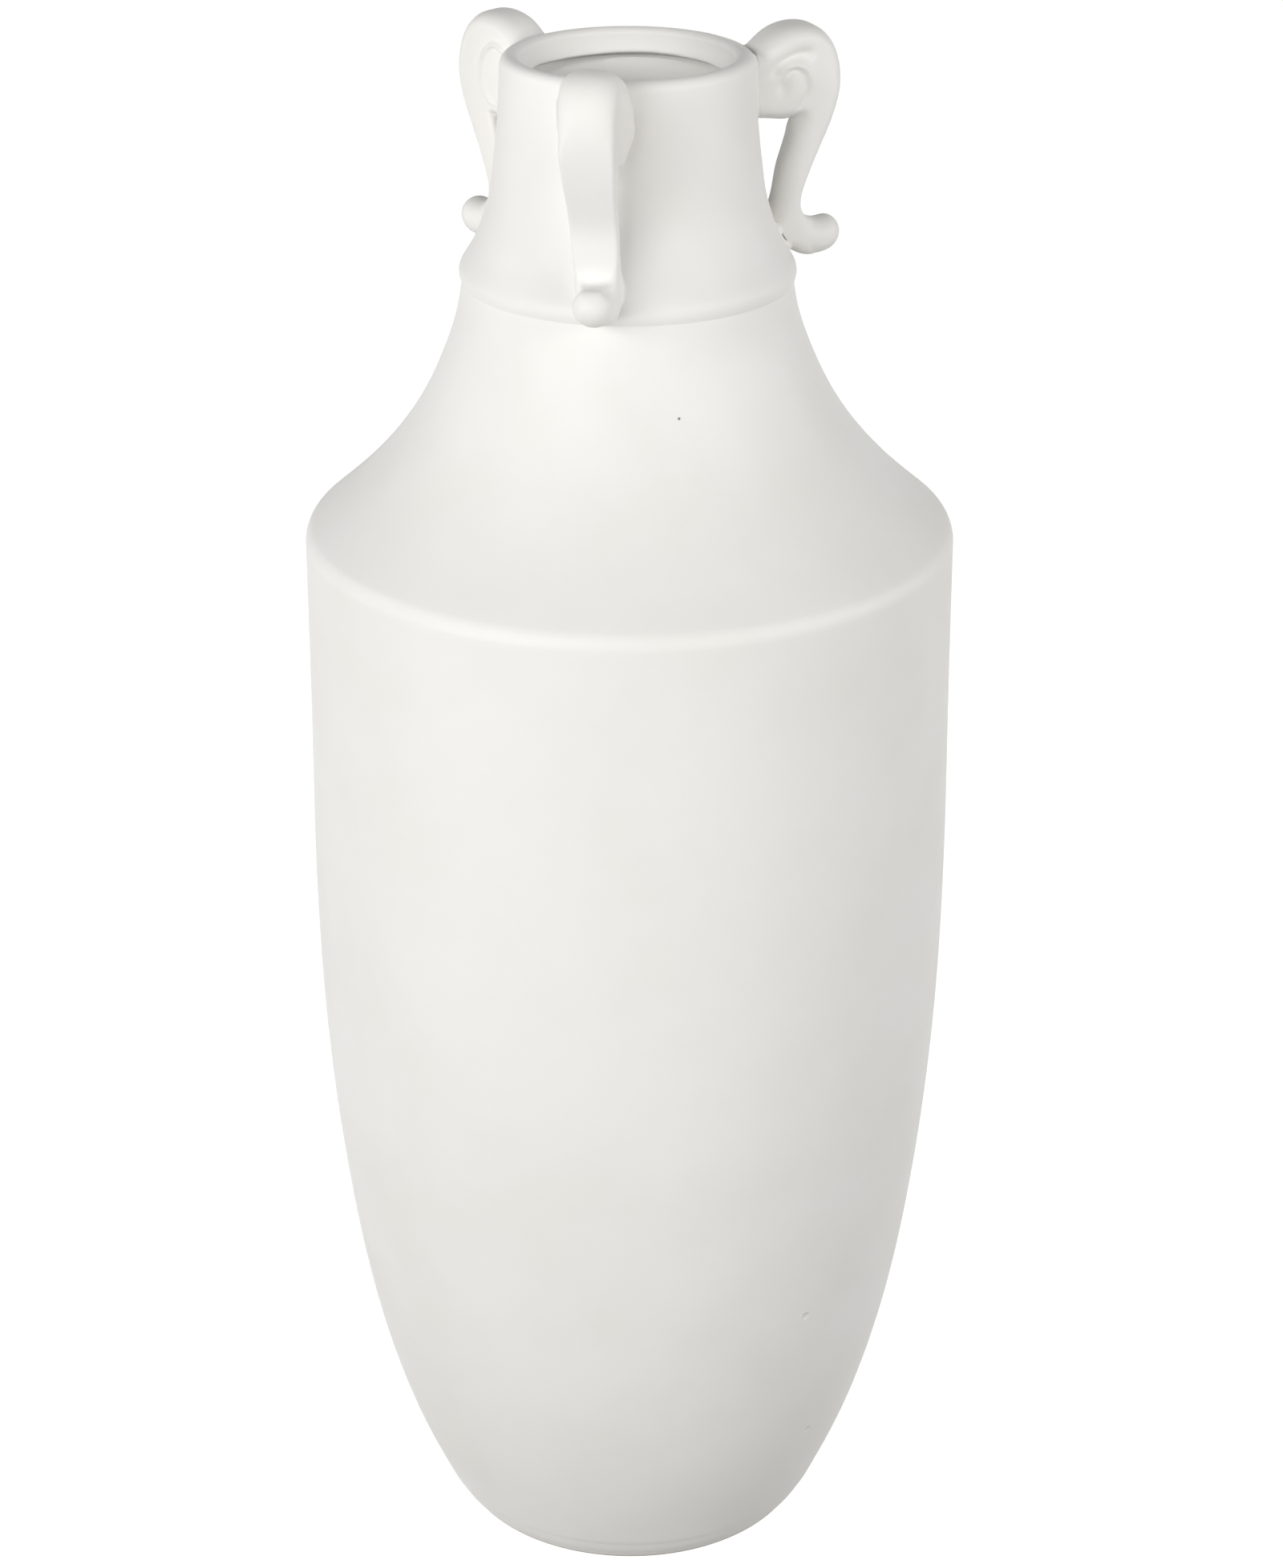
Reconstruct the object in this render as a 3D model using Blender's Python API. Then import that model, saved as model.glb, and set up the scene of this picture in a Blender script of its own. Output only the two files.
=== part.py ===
"""Tall ceramic amphora vase with three scroll handles, as its separate clay pieces.

Frame: metres, +Z up, origin on the resting plane at the centre of the foot.
The front handle stands towards -Y, the other two about a third of a turn to each side.
"""

import math

import bmesh
import bpy
from mathutils import Vector

MM = 0.001

# Driving dimensions of the turned vessel
FOOT_RADIUS = 66.6 * MM
FOOT_EDGE = 4.0 * MM
FOOT_EDGE_END = math.radians(-20.0)
FOOT_RECESS_RADIUS = 55.0 * MM
FOOT_RECESS_DEPTH = 2.0 * MM
FLOOR_JOINT_HEIGHT = 10.0 * MM
FLOOR_TOP_HEIGHT = 13.0 * MM
INSIDE_START_HEIGHT = 23.0 * MM
BODY_RADIUS = 120.1 * MM
ARRIS_ROUNDING = 9.0 * MM
ARRIS_CENTRE_HEIGHT = 410.5 * MM
ARRIS_SWEEP = math.radians(50.0)
SHOULDER_JOINT_HEIGHT = 407.0 * MM
COLLAR_JOINT_HEIGHT = 507.8 * MM
MOUTH_JOINT_HEIGHT = 576.6 * MM
RIM_HEIGHT = 589.3 * MM
RIM_APEX_RADIUS = 42.1 * MM
RIM_CROWN = 4.2 * MM
RIM_DRAW_IN = 0.4 * MM
MOUTH_BORE_RADIUS = 34.8 * MM
MOUTH_LEDGE = 2.0 * MM
MOUTH_LIP_EDGE = 1.6 * MM

# Wall thickness at each level
BODY_WALL = 8.0 * MM
SHOULDER_WALL = 7.0 * MM
NECK_WALL = 6.2 * MM

# Joints between the sections: a raised inner spigot with a washer of slip round it
GAP = 0.3 * MM
SLIP = 1.0 * MM
SPIGOT_HEIGHT = 3.0 * MM
STEP = SLIP + 2.0 * GAP

# Handles
HANDLE_TURNS = {
    "front": 0.0,
    "right": math.radians(121.0),
    "left": math.radians(-123.4),
}
HANDLE_RISES = {"front": 2.2 * MM, "right": 0.0, "left": 0.0}
HANDLE_REACHES = {"front": 1.0, "right": 0.985, "left": 0.945}
HEAD_WIDTH = 20.4 * MM
FOOT_WIDTH = 13.8 * MM
HEAD_UNDERSIDE_HEIGHT = 564.2 * MM
HEAD_TOP_START_HEIGHT = 588.0 * MM
STRAP_INNER_TOP_RADIUS = 65.4 * MM
HEAD_CORE_RADIUS = 50.0 * MM
HEAD_TOP_DRAW_IN = 0.8 * MM
LEAN_REACH = 2.0 * MM
FOOT_LOW_HEIGHT = 514.2 * MM
FOOT_HIGH_HEIGHT = 532.5 * MM
HANDLE_EDGE = 3.2 * MM
PAD_THICKNESS = 1.1 * MM
PAD_INSET = 1.2 * MM

# Facets
SHARP_EDGE = math.radians(40.0)
MERGE_DISTANCE = 0.001 * MM
MITRE_LIMIT = 0.6
SEGMENTS = 48
OUTER_STEPS = 2
SCROLL_STEPS = 3
CONTACT_STEPS = 4

# Hand-picked points (radius, height) in millimetres along the outer curves
BODY_CURVE = [
    (75.7, 10.0), (85.6, 32.7), (94.3, 57.2), (104.8, 98.6), (111.8, 141.5),
    (116.6, 183.6), (119.4, 224.3), (120.8, 280.0), (120.3, 345.0), (120.1, 407.0),
]
SHOULDER_CURVE = [
    (116.9, 417.4), (103.9, 428.9), (88.3, 445.5), (77.1, 461.3), (67.1, 481.8),
    (61.2, 500.6), (60.0, 507.8),
]
NECK_CURVE = [
    (59.9, 509.4), (60.9, 513.0), (59.2, 517.2), (55.4, 524.0), (52.4, 531.2), (49.9, 539.0),
    (48.2, 550.0), (46.8, 562.0), (45.75, 576.6),
]
ARCH_CURVE = [
    (53.4, 593.0), (62.8, 595.9), (70.8, 594.3), (76.3, 588.6), (78.6, 578.8), (76.6, 565.6),
    (70.3, 549.0), (66.0, 537.2), (65.7, 529.2), (70.8, 523.0), (76.6, 523.7), (80.4, 520.0),
    (78.4, 514.8), (71.0, 511.9), (65.0, 512.4),
]
STRAP_INNER_CURVE = [(57.2, 537.5), (60.6, 547.6), (64.4, 558.2)]

# Clay and slip colours as linear values with their roughness
GLAZED_WHITE = ((0.84, 0.835, 0.81, 1.0), 0.45)
JOINING_SLIP = ((0.80, 0.79, 0.76, 1.0), 0.60)


def clear_scene():
    """Remove every object of the scene that the script starts in."""
    for item in list(bpy.data.objects):
        bpy.data.objects.remove(item, do_unlink=True)


def clay(name, finish):
    """Return a material with the colour and roughness of a clay finish."""
    colour, roughness = finish
    material = bpy.data.materials.new(name)
    material.use_nodes = True
    shader = material.node_tree.nodes["Principled BSDF"]
    shader.inputs["Base Color"].default_value = colour
    shader.inputs["Roughness"].default_value = roughness
    shader.inputs["Metallic"].default_value = 0.0
    return material


def metres(points):
    """Turn hand-picked millimetre pairs into metre pairs."""
    return [(a * MM, b * MM) for a, b in points]


def smooth(points, steps):
    """Return a curve through the points, with some steps on each span."""
    ends = [points[0]] + list(points) + [points[-1]]
    path = []
    for before, start, end, after in zip(ends, ends[1:], ends[2:], ends[3:]):
        for step in range(steps):
            t = step / steps
            weights = (
                -0.5 * t + t * t - 0.5 * t ** 3,
                1.0 - 2.5 * t * t + 1.5 * t ** 3,
                0.5 * t + 2.0 * t * t - 1.5 * t ** 3,
                -0.5 * t * t + 0.5 * t ** 3,
            )
            corners = (before, start, end, after)
            path.append(tuple(sum(w * c[i] for w, c in zip(weights, corners)) for i in (0, 1)))
    path.append(points[-1])
    return path


def arc(centre, radius_across, radius_up, start, end, steps):
    """Return points along an elliptic arc in the radius and height plane."""
    angles = [start + (end - start) * step / steps for step in range(steps + 1)]
    return [
        (centre[0] + radius_across * math.cos(a), centre[1] + radius_up * math.sin(a))
        for a in angles
    ]


def inset(path, depth):
    """Return an open path moved to its left by a depth, such as the inside of a wall."""
    moved = []
    for index, point in enumerate(path):
        before = Vector(path[max(index - 1, 0)])
        after = Vector(path[min(index + 1, len(path) - 1)])
        along = (after - before).normalized()
        moved.append((point[0] - along.y * depth, point[1] + along.x * depth))
    return moved


def radius_at(path, height):
    """Return the radius of a rising path at a height."""
    for low, high in zip(path, path[1:]):
        if low[1] <= height <= high[1]:
            share = (height - low[1]) / (high[1] - low[1])
            return low[0] + (high[0] - low[0]) * share
    return path[0][0] if height < path[0][1] else path[-1][0]


def add_object(name, mesh, material, turn=0.0):
    """Put a mesh in the scene under a name, turned about the vase's axis."""
    mesh.materials.clear()
    mesh.materials.append(material)
    mesh.shade_smooth()
    mesh.set_sharp_from_angle(angle=SHARP_EDGE)
    piece = bpy.data.objects.new(name, mesh)
    piece.rotation_euler.z = turn
    bpy.context.scene.collection.objects.link(piece)
    return piece


def turned(name, section, material):
    """Spin a closed section of (radius, height) points round the axis into a solid."""
    work = bmesh.new()
    corners = [work.verts.new((radius, 0.0, height)) for radius, height in section]
    edges = [work.edges.new((a, b)) for a, b in zip(corners, corners[1:] + corners[:1])]
    bmesh.ops.spin(
        work, geom=corners + edges, cent=(0.0, 0.0, 0.0), axis=(0.0, 0.0, 1.0),
        angle=math.tau, steps=SEGMENTS,
    )
    bmesh.ops.remove_doubles(work, verts=work.verts, dist=MERGE_DISTANCE)
    bmesh.ops.dissolve_degenerate(work, edges=work.edges, dist=MERGE_DISTANCE)
    bmesh.ops.recalc_face_normals(work, faces=work.faces)
    mesh = bpy.data.meshes.new(name)
    work.to_mesh(mesh)
    work.free()
    return add_object(name, mesh, material)


def joint_radii(outer, wall):
    """Return the inner, middle and outer radius of a joint in a wall."""
    return outer - wall, outer - 0.5 * wall, outer


def spigot(radii, height):
    """Return the top of a lower section, from outside to inside."""
    inner, middle, outer = radii
    top = height + SPIGOT_HEIGHT
    return [(outer, height), (middle, height), (middle, top), (inner, top)]


def socket(radii, height):
    """Return the bottom of an upper section, from inside to outside."""
    inner, middle, outer = radii
    side = middle + 2.0 * GAP
    top = height + SPIGOT_HEIGHT + STEP
    return [(inner, top), (side, top), (side, height + STEP), (outer, height + STEP)]


def slip_washer(name, radii, height, material):
    """Make the ring of slip that lies round a spigot, between two sections."""
    inner = radii[1] + 2.0 * GAP
    outer = radii[2] - 0.5 * GAP
    low, high = height + GAP, height + GAP + SLIP
    return turned(name, [(inner, low), (outer, low), (outer, high), (inner, high)], material)


def trimmed(path, low, high):
    """Keep the points of a path that lie between two heights."""
    return [point for point in path if low < point[1] < high]


# Outer curves of the vessel and the radii of its four joints
BODY_PATH = smooth(metres(BODY_CURVE), OUTER_STEPS)
SHOULDER_PATH = smooth(metres(SHOULDER_CURVE), OUTER_STEPS)
NECK_PATH = smooth(metres(NECK_CURVE), OUTER_STEPS)
FLOOR_RADII = joint_radii(BODY_PATH[0][0], BODY_WALL)
ARRIS_RADII = joint_radii(BODY_RADIUS, SHOULDER_WALL)
COLLAR_RADII = joint_radii(SHOULDER_PATH[-1][0], SHOULDER_WALL)
MOUTH_RADII = joint_radii(NECK_PATH[-1][0], NECK_WALL)


def base_floor(material):
    """Make the floor disc: flat foot ring, shallow recess below, spigot above."""
    edge = arc(
        (FOOT_RADIUS, FOOT_EDGE), FOOT_EDGE, FOOT_EDGE, math.radians(-90.0), FOOT_EDGE_END, 3,
    )
    section = [
        (0.0, FOOT_RECESS_DEPTH), (FOOT_RECESS_RADIUS, FOOT_RECESS_DEPTH),
        (FOOT_RECESS_RADIUS + FOOT_RECESS_DEPTH, 0.0),
    ]
    section += edge
    section += spigot(FLOOR_RADII, FLOOR_JOINT_HEIGHT)[:3]
    section.append((0.0, FLOOR_TOP_HEIGHT))
    return turned("base_floor", section, material)


def body_wall(material):
    """Make the long swelling wall from the floor to just below the arris."""
    low = FLOOR_JOINT_HEIGHT + STEP
    inside = inset(metres(BODY_CURVE), BODY_WALL)
    section = socket(FLOOR_RADII, FLOOR_JOINT_HEIGHT)
    section += trimmed(BODY_PATH, low + SPIGOT_HEIGHT, SHOULDER_JOINT_HEIGHT)
    section += spigot(ARRIS_RADII, SHOULDER_JOINT_HEIGHT)
    section += reversed(trimmed(inside, INSIDE_START_HEIGHT, SHOULDER_JOINT_HEIGHT))
    return turned("body_wall", section, material)


def shoulder(material):
    """Make the shoulder: rounded arris below, concave slope up to the collar."""
    rounding = arc(
        (BODY_RADIUS - ARRIS_ROUNDING, ARRIS_CENTRE_HEIGHT), ARRIS_ROUNDING, ARRIS_ROUNDING,
        0.0, ARRIS_SWEEP, 5,
    )
    outside = rounding + SHOULDER_PATH[1:]
    inside = inset(rounding[::2] + metres(SHOULDER_CURVE)[1:], SHOULDER_WALL)
    low = SHOULDER_JOINT_HEIGHT + SPIGOT_HEIGHT + STEP
    section = socket(ARRIS_RADII, SHOULDER_JOINT_HEIGHT)
    section += outside[:-1]
    section += spigot(COLLAR_RADII, COLLAR_JOINT_HEIGHT)
    section += reversed(trimmed(inside, low, COLLAR_JOINT_HEIGHT))
    return turned("shoulder", section, material)


def neck(material):
    """Make the flared neck with the rolled collar at its foot."""
    inside = inset(metres(NECK_CURVE), NECK_WALL)
    low = COLLAR_JOINT_HEIGHT + SPIGOT_HEIGHT + STEP
    section = socket(COLLAR_RADII, COLLAR_JOINT_HEIGHT)[:3]
    section += NECK_PATH[:-1]
    section += spigot(MOUTH_RADII, MOUTH_JOINT_HEIGHT)
    section += reversed(trimmed(inside, low + SPIGOT_HEIGHT, MOUTH_JOINT_HEIGHT))
    return turned("neck", section, material)


def mouth_ring(material):
    """Make the thick rolled ring of the mouth, with its ledge inside the neck."""
    outer = MOUTH_RADII[2] - RIM_DRAW_IN
    ledge = MOUTH_JOINT_HEIGHT + SPIGOT_HEIGHT + STEP
    lip_height = ledge + MOUTH_LIP_EDGE
    quarter = math.radians(90.0)
    crown = arc(
        (RIM_APEX_RADIUS, RIM_HEIGHT - RIM_CROWN), outer - RIM_APEX_RADIUS, RIM_CROWN,
        0.0, quarter, 4,
    )
    lip = arc(
        (RIM_APEX_RADIUS, lip_height), RIM_APEX_RADIUS - MOUTH_BORE_RADIUS,
        RIM_HEIGHT - lip_height, quarter, 2.0 * quarter, 5,
    )
    section = socket(MOUTH_RADII, MOUTH_JOINT_HEIGHT)[1:]
    section += crown
    section += lip[1:]
    section.append((MOUTH_RADII[0] - MOUTH_LEDGE, ledge))
    return turned("mouth_ring", section, material)


def neck_offset(height, distance):
    """Return the radius that lies a distance outside the neck, measured square to it."""
    low = radius_at(NECK_PATH, height - LEAN_REACH)
    high = radius_at(NECK_PATH, height + LEAN_REACH)
    lean = math.atan2(low - high, 2.0 * LEAN_REACH)
    return radius_at(NECK_PATH, height) + distance / math.cos(lean)


def head_share(height):
    """Return how far up the strap a height lies, from 0 at the foot to 1 at the head."""
    share = (height - FOOT_HIGH_HEIGHT) / (HEAD_UNDERSIDE_HEIGHT - FOOT_HIGH_HEIGHT)
    return min(max(share, 0.0), 1.0)


def handle_width(height):
    """Return the handle's width, which tapers from its head to its foot."""
    return FOOT_WIDTH + (HEAD_WIDTH - FOOT_WIDTH) * head_share(height) ** 2


def handle_outline():
    """Return the scroll's closed outline in the plane of radius and height."""
    clear = PAD_THICKNESS + 2.0 * GAP
    head_low = (neck_offset(HEAD_UNDERSIDE_HEIGHT, clear), HEAD_UNDERSIDE_HEIGHT)
    head_top = (neck_offset(MOUTH_JOINT_HEIGHT, clear) - HEAD_TOP_DRAW_IN, HEAD_TOP_START_HEIGHT)
    rise = (FOOT_HIGH_HEIGHT - FOOT_LOW_HEIGHT) / CONTACT_STEPS
    levels = [FOOT_LOW_HEIGHT + rise * step for step in range(CONTACT_STEPS + 1)]
    contact = [(neck_offset(level, clear), level) for level in levels]
    strap_top = (STRAP_INNER_TOP_RADIUS, HEAD_UNDERSIDE_HEIGHT)
    arch = smooth([head_top] + metres(ARCH_CURVE) + contact[:1], SCROLL_STEPS)
    strap = smooth([contact[-1]] + metres(STRAP_INNER_CURVE) + [strap_top], OUTER_STEPS)
    return arch + contact[1:-1] + strap + [head_low]


def shrunk(outline, depth):
    """Move every point of a closed clockwise outline inwards, square to its two sides."""
    moved = []
    count = len(outline)
    for index in range(count):
        before = Vector(outline[index - 1])
        here = Vector(outline[index])
        after = Vector(outline[(index + 1) % count])
        first = (here - before).normalized()
        second = (after - here).normalized()
        inward = Vector((first.y + second.y, -first.x - second.x))
        inward.normalize()
        lean = max(inward.dot(Vector((first.y, -first.x))), MITRE_LIMIT)
        moved.append(tuple(here + inward * (depth / lean)))
    return moved


def hand_shaped(outline, rise, reach):
    """Give one handle its own lift and reach, growing from none at the foot."""
    root = radius_at(NECK_PATH, HEAD_UNDERSIDE_HEIGHT)
    shaped = []
    for radius, height in outline:
        share = head_share(height)
        stretch = 1.0 + (reach - 1.0) * share if radius > HEAD_CORE_RADIUS else 1.0
        shaped.append((root + (radius - root) * stretch, height + rise * share))
    return shaped


def handle_mesh(rise, reach):
    """Loft the scroll outline across its width, with rounded edges on both faces."""
    outline = hand_shaped(handle_outline(), rise, reach)
    layers = [
        (HANDLE_EDGE * (1.0 - math.cos(angle)), HANDLE_EDGE * (1.0 - math.sin(angle)))
        for angle in (math.radians(90.0), math.radians(45.0), 0.0)
    ]
    rings = [(shrink, -1.0, drop) for shrink, drop in layers]
    rings += [(shrink, 1.0, drop) for shrink, drop in reversed(layers)]
    work = bmesh.new()
    loops = []
    for shrink, side, drop in rings:
        loop = []
        for (radius, height), (_, level) in zip(shrunk(outline, shrink), outline):
            across = side * (0.5 * handle_width(level) - drop)
            loop.append(work.verts.new((across, -radius, height)))
        loops.append(loop)
    for lower, upper in zip(loops, loops[1:]):
        for index in range(len(lower)):
            after = (index + 1) % len(lower)
            work.faces.new((lower[index], lower[after], upper[after], upper[index]))
    work.faces.new(loops[0])
    work.faces.new(loops[-1])
    bmesh.ops.recalc_face_normals(work, faces=work.faces)
    mesh = bpy.data.meshes.new("scroll_handle")
    work.to_mesh(mesh)
    work.free()
    return mesh


def pad_mesh(name, low, high, rows=4, columns=5):
    """Make the slip between a handle and the neck: curved inside, flat across outside."""
    work = bmesh.new()
    near, far = [], []
    for row in range(rows):
        height = low + (high - low) * row / (rows - 1)
        half = 0.5 * handle_width(height) - PAD_INSET
        skin = neck_offset(height, GAP)
        outer = neck_offset(height, GAP + PAD_THICKNESS)
        for column in range(columns):
            across = half * (2.0 * column / (columns - 1) - 1.0)
            inner = math.sqrt(skin * skin - across * across)
            near.append(work.verts.new((across, -inner, height)))
            far.append(work.verts.new((across, -outer, height)))
    edge = list(range(columns))
    edge += [row * columns + columns - 1 for row in range(1, rows)]
    edge += [(rows - 1) * columns + column for column in reversed(range(columns - 1))]
    edge += [row * columns for row in reversed(range(1, rows - 1))]
    for sheet in (near, far):
        for row in range(rows - 1):
            for column in range(columns - 1):
                corner = row * columns + column
                order = (corner, corner + 1, corner + columns + 1, corner + columns)
                work.faces.new([sheet[item] for item in order])
    for here, after in zip(edge, edge[1:] + edge[:1]):
        work.faces.new((near[here], near[after], far[after], far[here]))
    bmesh.ops.recalc_face_normals(work, faces=work.faces)
    mesh = bpy.data.meshes.new(name)
    work.to_mesh(mesh)
    work.free()
    return mesh


def vessel():
    """Make the five turned sections and the four washers of slip between them."""
    makers = (base_floor, body_wall, shoulder, neck, mouth_ring)
    for maker in makers:
        maker(clay(maker.__name__ + "_clay", GLAZED_WHITE))
    joints = {
        "base_slip": (FLOOR_RADII, FLOOR_JOINT_HEIGHT),
        "arris_slip": (ARRIS_RADII, SHOULDER_JOINT_HEIGHT),
        "collar_slip": (COLLAR_RADII, COLLAR_JOINT_HEIGHT),
        "mouth_slip": (MOUTH_RADII, MOUTH_JOINT_HEIGHT),
    }
    for name, (radii, height) in joints.items():
        slip_washer(name, radii, height, clay(name + "_clay", JOINING_SLIP))


def handles():
    """Make the three scroll handles and the slip at the head and foot of each."""
    head_span = (HEAD_UNDERSIDE_HEIGHT + PAD_INSET, MOUTH_JOINT_HEIGHT)
    foot_span = (FOOT_LOW_HEIGHT + PAD_INSET, FOOT_HIGH_HEIGHT - PAD_INSET)
    for place, turn in HANDLE_TURNS.items():
        rise, reach = HANDLE_RISES[place], HANDLE_REACHES[place]
        head_low, head_high = head_span
        shapes = {
            "handle": (handle_mesh(rise, reach), GLAZED_WHITE),
            "head_slip": (pad_mesh("head_slip", head_low + rise, head_high), JOINING_SLIP),
            "foot_slip": (pad_mesh("foot_slip", *foot_span), JOINING_SLIP),
        }
        for kind, (mesh, finish) in shapes.items():
            name = f"{kind}_{place}"
            add_object(name, mesh, clay(name + "_clay", finish), turn)


clear_scene()
vessel()
handles()
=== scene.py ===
"""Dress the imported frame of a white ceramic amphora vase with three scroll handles.

The frame is in metres: +Z up, the foot on z = 0 and the front handle towards -Y. Sizes in the
classes are millimetres, as a potter notes them, and MM turns them into metres. The studio's own
sizes are metres.
"""

import logging
import math
from dataclasses import dataclass, field
from enum import Enum
from typing import Any

import bpy
import numpy as np
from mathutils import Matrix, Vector, noise


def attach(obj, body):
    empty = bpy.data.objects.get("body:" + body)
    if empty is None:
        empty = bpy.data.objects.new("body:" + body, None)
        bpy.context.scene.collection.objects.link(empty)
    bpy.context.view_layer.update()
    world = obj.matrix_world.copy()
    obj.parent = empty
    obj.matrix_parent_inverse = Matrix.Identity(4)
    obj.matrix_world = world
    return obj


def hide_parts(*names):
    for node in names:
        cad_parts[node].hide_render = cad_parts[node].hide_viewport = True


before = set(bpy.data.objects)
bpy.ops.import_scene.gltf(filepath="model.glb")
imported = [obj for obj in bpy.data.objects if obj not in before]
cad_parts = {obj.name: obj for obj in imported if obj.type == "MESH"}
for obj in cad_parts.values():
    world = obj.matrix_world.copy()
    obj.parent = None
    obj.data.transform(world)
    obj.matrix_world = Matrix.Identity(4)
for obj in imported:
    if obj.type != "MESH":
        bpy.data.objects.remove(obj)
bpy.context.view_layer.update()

LOG = logging.getLogger("vase")
MM = 0.001
BODY = "root"

Point = tuple[float, float]
Path = list[Point]
Inputs = dict[str | int, Any]

# Facets: every turned section has the same steps, so that their edges meet exactly
TURN_STEPS = 192
CUTTER_STEPS = 96
MERGE_DISTANCE = 0.004 * MM
SHARP_EDGE = math.radians(38.0)

# How strong one pass of smoothing is, and the refractive index of glaze and clay
SOFTENING = 0.5
REFRACTION = 1.5

# The seed of the small unevenness in the clay
UNEVEN_SEED = 5


class Slot(Enum):
    """The record's material slots."""

    GLAZE = "white_glaze"
    FOOT = "bare_foot"
    SLIP = "joining_slip"


class Place(Enum):
    """Where a handle stands round the neck."""

    FRONT = "front"
    RIGHT = "right"
    LEFT = "left"


class Mark(Enum):
    """The small marks that firing left in the glaze."""

    SPECK = "speck"
    DIMPLE = "dimple"


def hex_colour(value: str) -> tuple[float, float, float, float]:
    """Turn an sRGB hex colour into linear values.

    Args:
        value: Six hex digits after a hash sign.

    Returns:
        Linear red, green and blue, with full opacity.
    """
    parts = [int(value[index:index + 2], 16) / 255.0 for index in (1, 3, 5)]
    linear = [c / 12.92 if c <= 0.04045 else ((c + 0.055) / 1.055) ** 2.4 for c in parts]
    return linear[0], linear[1], linear[2], 1.0


def add_node(
    tree: bpy.types.NodeTree, kind: str, inputs: Inputs | None = None, **settings: Any,
) -> bpy.types.Node:
    """Add a node with its settings, and set or link its inputs.

    Args:
        tree: The node tree to add it to.
        kind: The node's type name.
        inputs: A value or an output socket for each input, by name or by number.
        settings: The node's own properties.

    Returns:
        The new node.
    """
    node = tree.nodes.new(kind)
    for name, value in settings.items():
        setattr(node, name, value)
    for key, value in (inputs or {}).items():
        if isinstance(value, bpy.types.NodeSocket):
            tree.links.new(value, node.inputs[key])
        else:
            node.inputs[key].default_value = value
    return node


def new_material(name: str) -> tuple[bpy.types.Material, bpy.types.NodeTree, bpy.types.NodeSocket]:
    """Start a material with an empty tree.

    Args:
        name: The real material's name.

    Returns:
        The material, its tree and the output's surface socket.
    """
    material = bpy.data.materials.new(name)
    material.use_nodes = True
    tree = material.node_tree
    tree.nodes.clear()
    output = add_node(tree, "ShaderNodeOutputMaterial")
    return material, tree, output.inputs["Surface"]


def lumps(
    tree: bpy.types.NodeTree, place: bpy.types.NodeSocket, size: float, detail: float,
) -> bpy.types.NodeSocket:
    """Add a field of soft random lumps.

    Args:
        tree: The material's tree.
        place: The object coordinates.
        size: About how wide a lump is, in millimetres.
        detail: How many finer layers the field has.

    Returns:
        The field's socket, from 0 to 1.
    """
    return add_node(
        tree, "ShaderNodeTexNoise", {"Vector": place, "Scale": 1.0 / (size * MM), "Detail": detail},
    ).outputs["Fac"]


def blend(
    tree: bpy.types.NodeTree, share: bpy.types.NodeSocket, first: Any, second: Any,
) -> bpy.types.NodeSocket:
    """Mix two colours.

    Args:
        tree: The material's tree.
        share: The share of the second colour.
        first: A colour or a colour socket.
        second: A colour or a colour socket.

    Returns:
        The mixed colour's socket.
    """
    return add_node(
        tree, "ShaderNodeMix", {"Factor": share, 6: first, 7: second}, data_type="RGBA",
    ).outputs[2]


def pick(piece: bpy.types.Object) -> None:
    """Make one piece the only selected and active object.

    Args:
        piece: The piece to select.
    """
    bpy.ops.object.select_all(action="DESELECT")
    piece.select_set(True)
    bpy.context.view_layer.objects.active = piece


def apply_modifier(piece: bpy.types.Object, kind: str, **settings: Any) -> None:
    """Add a modifier to a piece and apply it.

    Args:
        piece: The piece to change.
        kind: The modifier's type name.
        settings: The modifier's properties.
    """
    pick(piece)
    bpy.ops.object.modifier_add(type=kind)
    modifier = piece.modifiers[-1]
    for name, value in settings.items():
        setattr(modifier, name, value)
    bpy.ops.object.modifier_apply(modifier=modifier.name)


def smooth_curve(points: Path, spacing: float) -> Path:
    """Draw a curve of even bend through given points.

    Args:
        points: The points that the curve passes through.
        spacing: About how far apart the curve's own points lie.

    Returns:
        The points along the curve, both ends included.
    """
    knots = np.array(points)
    spans = np.linalg.norm(np.diff(knots, axis=0), axis=1)
    reach = np.concatenate([[0.0], np.cumsum(spans)])
    slopes = np.diff(knots, axis=0) / spans[:, None]
    system = np.eye(len(knots))
    pull = np.zeros_like(knots)
    for index in range(1, len(knots) - 1):
        before, after = spans[index - 1], spans[index]
        system[index, index - 1:index + 2] = before, 2.0 * (before + after), after
        pull[index] = 6.0 * (slopes[index] - slopes[index - 1])
    bends = np.linalg.solve(system, pull)
    places = np.linspace(0.0, reach[-1], max(round(reach[-1] / spacing), 2) + 1)
    span = np.clip(np.searchsorted(reach, places, side="right") - 1, 0, len(spans) - 1)
    width = spans[span][:, None]
    right = (places - reach[span])[:, None] / width
    left = 1.0 - right
    curve = left * knots[span] + right * knots[span + 1]
    bend = (left ** 3 - left) * bends[span] + (right ** 3 - right) * bends[span + 1]
    curve += bend * width ** 2 / 6.0
    return [(float(a), float(b)) for a, b in curve]


def arc(centre: Point, radii: Point, start: float, end: float, steps: int) -> Path:
    """Return points along an elliptic arc, with its angles in degrees.

    Args:
        centre: The arc's centre.
        radii: Its reach across and up.
        start: The first angle.
        end: The last angle.
        steps: How many steps lie between them.

    Returns:
        The arc's points, both ends included.
    """
    angles = np.radians(np.linspace(start, end, steps + 1))
    return [(centre[0] + radii[0] * math.cos(a), centre[1] + radii[1] * math.sin(a)) for a in angles]


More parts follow.
